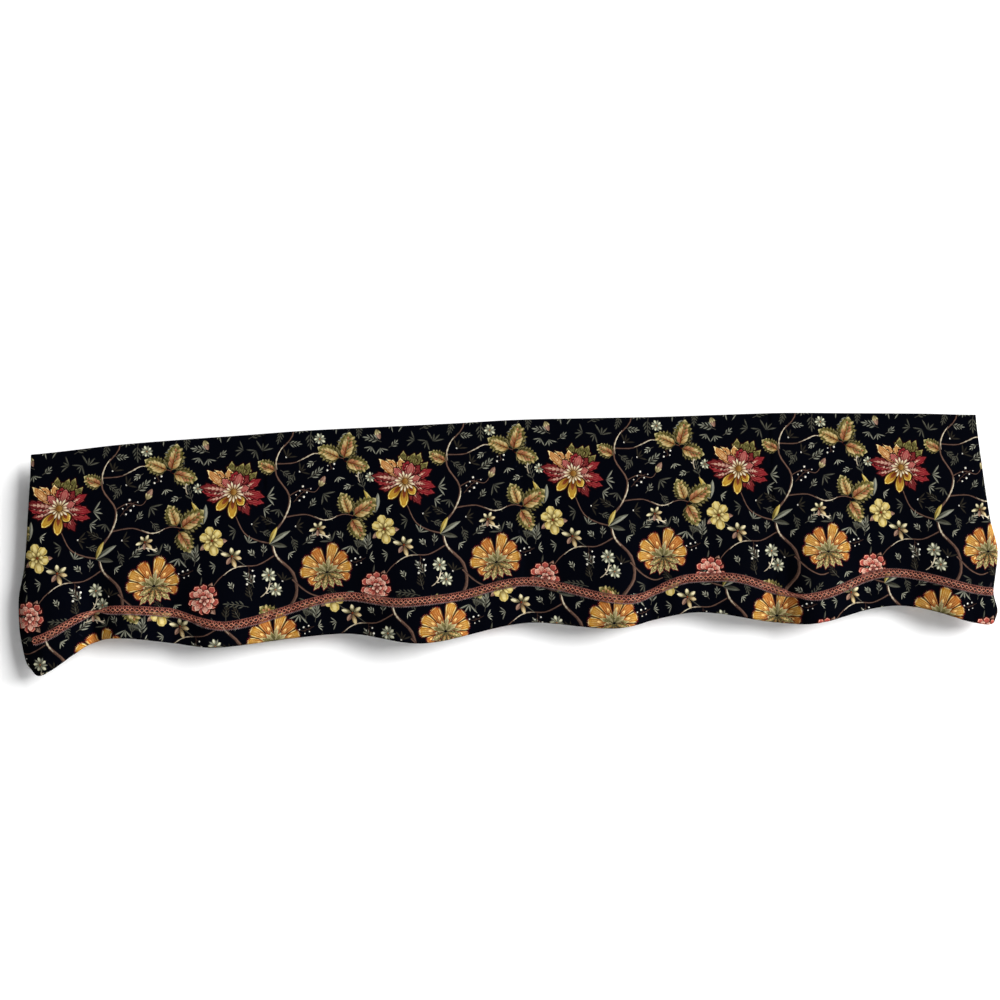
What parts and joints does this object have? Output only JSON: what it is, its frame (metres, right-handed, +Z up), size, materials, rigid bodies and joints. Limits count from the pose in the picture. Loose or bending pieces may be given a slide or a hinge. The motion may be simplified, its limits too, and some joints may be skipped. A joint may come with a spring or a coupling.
{
  "type": "window valance",
  "caption": "Hanging fabric valance: a flat printed panel with a scalloped lower band and a narrow woven braid along the seam between them.",
  "frame": {"origin": "Middle of the valance's top edge, where a rod or board holds it", "axes": "+X along the width to the right as seen from the front, +Y out of the back towards the window, +Z up"},
  "size_m": [2.0138, 0.0478, 0.4688],
  "materials": {
    "panel_cloth": "plain-woven cotton, near-black ground with a multicoloured floral print, matt",
    "band_cloth": "plain-woven cotton, near-black ground with a multicoloured floral print, matt",
    "braid_cord": "woven gimp braid of dusty pink and terracotta cords with a soft sheen"
  },
  "bodies": {
    "root": {"panel": "panel_cloth", "band": "band_cloth", "braid": "braid_cord"}
  },
  "joints": []
}
